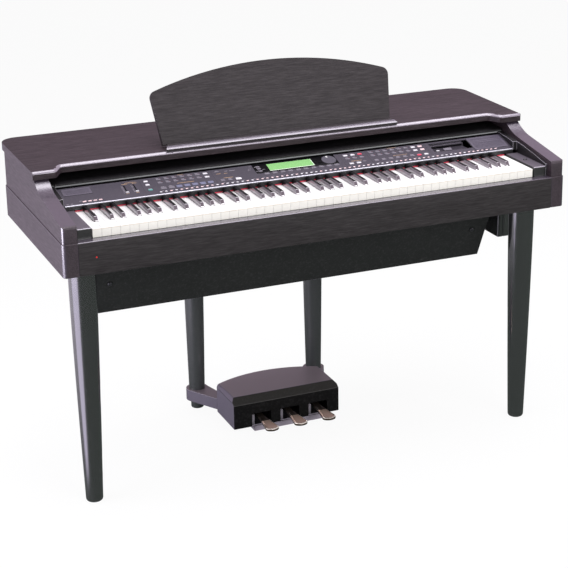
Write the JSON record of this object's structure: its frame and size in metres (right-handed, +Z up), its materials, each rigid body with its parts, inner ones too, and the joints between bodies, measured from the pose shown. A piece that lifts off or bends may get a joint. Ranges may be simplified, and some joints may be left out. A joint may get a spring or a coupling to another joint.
{
  "type": "digital piano on stand",
  "caption": "Digital piano with weighted keys, sliding key cover, control panel, folding music rest, speaker box and pedal unit on four round tapered legs.",
  "frame": {"origin": "on the floor, under the middle of the bounding box", "axes": "+X to the player's right along the keyboard, +Y to the back, +Z up"},
  "size_m": [1.394, 0.606, 1.041],
  "materials": {
    "case_wood": "dark rosewood grain, satin",
    "dark_board": "black stained board, satin",
    "leg_lacquer": "charcoal lacquer, satin",
    "dark_plastic": "black, fine texture",
    "panel_plastic": "dark grey, satin",
    "button_plastic": "grey, satin",
    "screen_lens": "green liquid crystal screen in a black lens",
    "lamp_lens": "clear red",
    "trim_metal": "brushed",
    "white_key": "white, semi-gloss",
    "black_key": "black, gloss",
    "felt": "red felt",
    "circuit_board": "green, semi-gloss",
    "heat_sink": "anodised",
    "steel": "zinc plated",
    "speaker_parts": "black, matt",
    "pedal_plastic": "dark grey, satin",
    "pedal_brass": "polished, pale"
  },
  "bodies": {
    "case": {"key_bed": "dark_board", "side_boards": "case_wood", "front_board": "case_wood", "pilot_lamp": "lamp_lens", "side_arms": "case_wood", "back_panel": "dark_board", "top_board": "case_wood", "rest_ledge": "case_wood", "cover_rails": "dark_plastic", "key_blocks": "dark_plastic", "control_panel": "panel_plastic", "panel_trim": "trim_metal", "panel_grilles": "panel_plastic", "display": "screen_lens", "disk_drive": "dark_plastic", "main_board": "circuit_board", "felt_strip": "felt", "key_frame": "steel", "power_supply": "steel", "amplifier": "heat_sink", "power_inlet": "dark_plastic", "jack_box": "dark_plastic", "speaker_box": "dark_board", "speaker_grille": "dark_board", "woofers": "speaker_parts", "thumb_screws": "steel", "side_bracket": "dark_board", "leg_plates": "steel", "front_legs": "leg_lacquer", "rear_legs": "leg_lacquer", "pedal_box": "pedal_plastic", "pedal_base": "pedal_plastic", "pedal_arms": "pedal_plastic"},
    "keys_a": {"keys_a": "white_key"},
    "keys_a_sharp": {"keys_a_sharp": "black_key"},
    "keys_b": {"keys_b": "white_key"},
    "keys_c": {"keys_c": "white_key"},
    "keys_c_sharp": {"keys_c_sharp": "black_key"},
    "keys_d": {"keys_d": "white_key"},
    "keys_d_sharp": {"keys_d_sharp": "black_key"},
    "keys_e": {"keys_e": "white_key"},
    "keys_f": {"keys_f": "white_key"},
    "keys_f_sharp": {"keys_f_sharp": "black_key"},
    "keys_g": {"keys_g": "white_key"},
    "keys_g_sharp": {"keys_g_sharp": "black_key"},
    "music_rest": {"music_rest": "case_wood"},
    "rest_stays": {"rest_stays": "steel"},
    "key_cover": {"key_cover": "dark_board"},
    "power_button": {"power_button": "dark_plastic"},
    "data_dial": {"data_dial": "button_plastic"},
    "volume_slider": {"volume_slider": "dark_plastic"},
    "balance_slider": {"balance_slider": "dark_plastic"},
    "style_buttons": {"style_buttons": "button_plastic"},
    "display_buttons": {"display_buttons": "button_plastic"},
    "voice_buttons": {"voice_buttons": "button_plastic"},
    "function_buttons": {"function_buttons": "button_plastic"},
    "disk_eject": {"disk_eject": "button_plastic"},
    "soft_pedal": {"soft_pedal": "pedal_brass"},
    "sostenuto_pedal": {"sostenuto_pedal": "pedal_brass"},
    "damper_pedal": {"damper_pedal": "pedal_brass"}
  },
  "joints": [
    {"name": "keys_a_press", "type": "hinge", "parent": "case", "child": "keys_a", "pos_m": [0, -0.067, 0.731], "axis": [1, 0, 0], "range_deg": [0, 2.6], "stiffness_Nm_per_rad": 6.8, "springref_deg": -14.32},
    {"name": "keys_a_sharp_press", "type": "hinge", "parent": "case", "child": "keys_a_sharp", "pos_m": [0, -0.067, 0.731], "axis": [1, 0, 0], "range_deg": [0, 3.4], "stiffness_Nm_per_rad": 4.8, "springref_deg": -14.32},
    {"name": "keys_b_press", "type": "hinge", "parent": "case", "child": "keys_b", "pos_m": [0, -0.067, 0.731], "axis": [1, 0, 0], "range_deg": [0, 2.6], "stiffness_Nm_per_rad": 6.8, "springref_deg": -14.32},
    {"name": "keys_c_press", "type": "hinge", "parent": "case", "child": "keys_c", "pos_m": [0, -0.067, 0.731], "axis": [1, 0, 0], "range_deg": [0, 2.6], "stiffness_Nm_per_rad": 6.8, "springref_deg": -14.32},
    {"name": "keys_c_sharp_press", "type": "hinge", "parent": "case", "child": "keys_c_sharp", "pos_m": [0, -0.067, 0.731], "axis": [1, 0, 0], "range_deg": [0, 3.4], "stiffness_Nm_per_rad": 4.2, "springref_deg": -14.32},
    {"name": "keys_d_press", "type": "hinge", "parent": "case", "child": "keys_d", "pos_m": [0, -0.067, 0.731], "axis": [1, 0, 0], "range_deg": [0, 2.6], "stiffness_Nm_per_rad": 5.95, "springref_deg": -14.32},
    {"name": "keys_d_sharp_press", "type": "hinge", "parent": "case", "child": "keys_d_sharp", "pos_m": [0, -0.067, 0.731], "axis": [1, 0, 0], "range_deg": [0, 3.4], "stiffness_Nm_per_rad": 4.2, "springref_deg": -14.32},
    {"name": "keys_e_press", "type": "hinge", "parent": "case", "child": "keys_e", "pos_m": [0, -0.067, 0.731], "axis": [1, 0, 0], "range_deg": [0, 2.6], "stiffness_Nm_per_rad": 5.95, "springref_deg": -14.32},
    {"name": "keys_f_press", "type": "hinge", "parent": "case", "child": "keys_f", "pos_m": [0, -0.067, 0.731], "axis": [1, 0, 0], "range_deg": [0, 2.6], "stiffness_Nm_per_rad": 5.95, "springref_deg": -14.32},
    {"name": "keys_f_sharp_press", "type": "hinge", "parent": "case", "child": "keys_f_sharp", "pos_m": [0, -0.067, 0.731], "axis": [1, 0, 0], "range_deg": [0, 3.4], "stiffness_Nm_per_rad": 4.2, "springref_deg": -14.32},
    {"name": "keys_g_press", "type": "hinge", "parent": "case", "child": "keys_g", "pos_m": [0, -0.067, 0.731], "axis": [1, 0, 0], "range_deg": [0, 2.6], "stiffness_Nm_per_rad": 5.95, "springref_deg": -14.32},
    {"name": "keys_g_sharp_press", "type": "hinge", "parent": "case", "child": "keys_g_sharp", "pos_m": [0, -0.067, 0.731], "axis": [1, 0, 0], "range_deg": [0, 3.4], "stiffness_Nm_per_rad": 4.2, "springref_deg": -14.32},
    {"name": "soft_pedal_press", "type": "hinge", "parent": "case", "child": "soft_pedal", "pos_m": [0, 0.097, 0.0395], "axis": [1, 0, 0], "range_deg": [0, 4], "stiffness_Nm_per_rad": 20, "springref_deg": -11.46},
    {"name": "sostenuto_pedal_press", "type": "hinge", "parent": "case", "child": "sostenuto_pedal", "pos_m": [0, 0.097, 0.0395], "axis": [1, 0, 0], "range_deg": [0, 4], "stiffness_Nm_per_rad": 20, "springref_deg": -11.46},
    {"name": "damper_pedal_press", "type": "hinge", "parent": "case", "child": "damper_pedal", "pos_m": [0, 0.097, 0.0395], "axis": [1, 0, 0], "range_deg": [0, 4], "stiffness_Nm_per_rad": 20, "springref_deg": -11.46},
    {"name": "rest_fold", "type": "hinge", "parent": "case", "child": "music_rest", "pos_m": [0, 0.029, 0.858], "axis": [-1, 0, 0], "range_deg": [0, 70.2]},
    {"name": "stay_fold", "type": "hinge", "parent": "music_rest", "child": "rest_stays", "pos_m": [0, 0.05318, 0.91306], "axis": [1, 0, 0], "range_deg": [0, 131.4]},
    {"name": "cover_slide", "type": "hinge", "parent": "case", "child": "key_cover", "pos_m": [0, 0.093, -0.9927], "axis": [1, 0, 0], "range_deg": [0, 8]},
    {"name": "power_press", "type": "slide", "parent": "case", "child": "power_button", "axis": [0, 0, -1], "range_m": [0, 0.002], "stiffness_N_per_m": 600, "springref_m": -0.002},
    {"name": "eject_press", "type": "slide", "parent": "case", "child": "disk_eject", "axis": [0, 0, -1], "range_m": [0, 0.0015], "stiffness_N_per_m": 600, "springref_m": -0.002},
    {"name": "style_press", "type": "slide", "parent": "case", "child": "style_buttons", "axis": [0, 0.2672, -0.9636], "range_m": [0, 0.0012], "stiffness_N_per_m": 600, "springref_m": -0.002},
    {"name": "display_press", "type": "slide", "parent": "case", "child": "display_buttons", "axis": [0, 0.2672, -0.9636], "range_m": [0, 0.0012], "stiffness_N_per_m": 600, "springref_m": -0.002},
    {"name": "voice_press", "type": "slide", "parent": "case", "child": "voice_buttons", "axis": [0, 0.2672, -0.9636], "range_m": [0, 0.0012], "stiffness_N_per_m": 600, "springref_m": -0.002},
    {"name": "function_press", "type": "slide", "parent": "case", "child": "function_buttons", "axis": [0, 0.2672, -0.9636], "range_m": [0, 0.0012], "stiffness_N_per_m": 600, "springref_m": -0.002},
    {"name": "dial_turn", "type": "hinge", "parent": "case", "child": "data_dial", "pos_m": [0.1046, -0.06615, 0.78677], "axis": [0, -0.2672, 0.9636], "continuous": true},
    {"name": "volume_slide", "type": "slide", "parent": "case", "child": "volume_slider", "axis": [0, 0.9636, 0.2672], "range_m": [0, 0.032]},
    {"name": "balance_slide", "type": "slide", "parent": "case", "child": "balance_slider", "axis": [0, 0.9636, 0.2672], "range_m": [0, 0.032]}
  ],
  "couplings": [
    {"joint": "stay_fold", "follows": "rest_fold", "ratio": 1.8717}
  ]
}
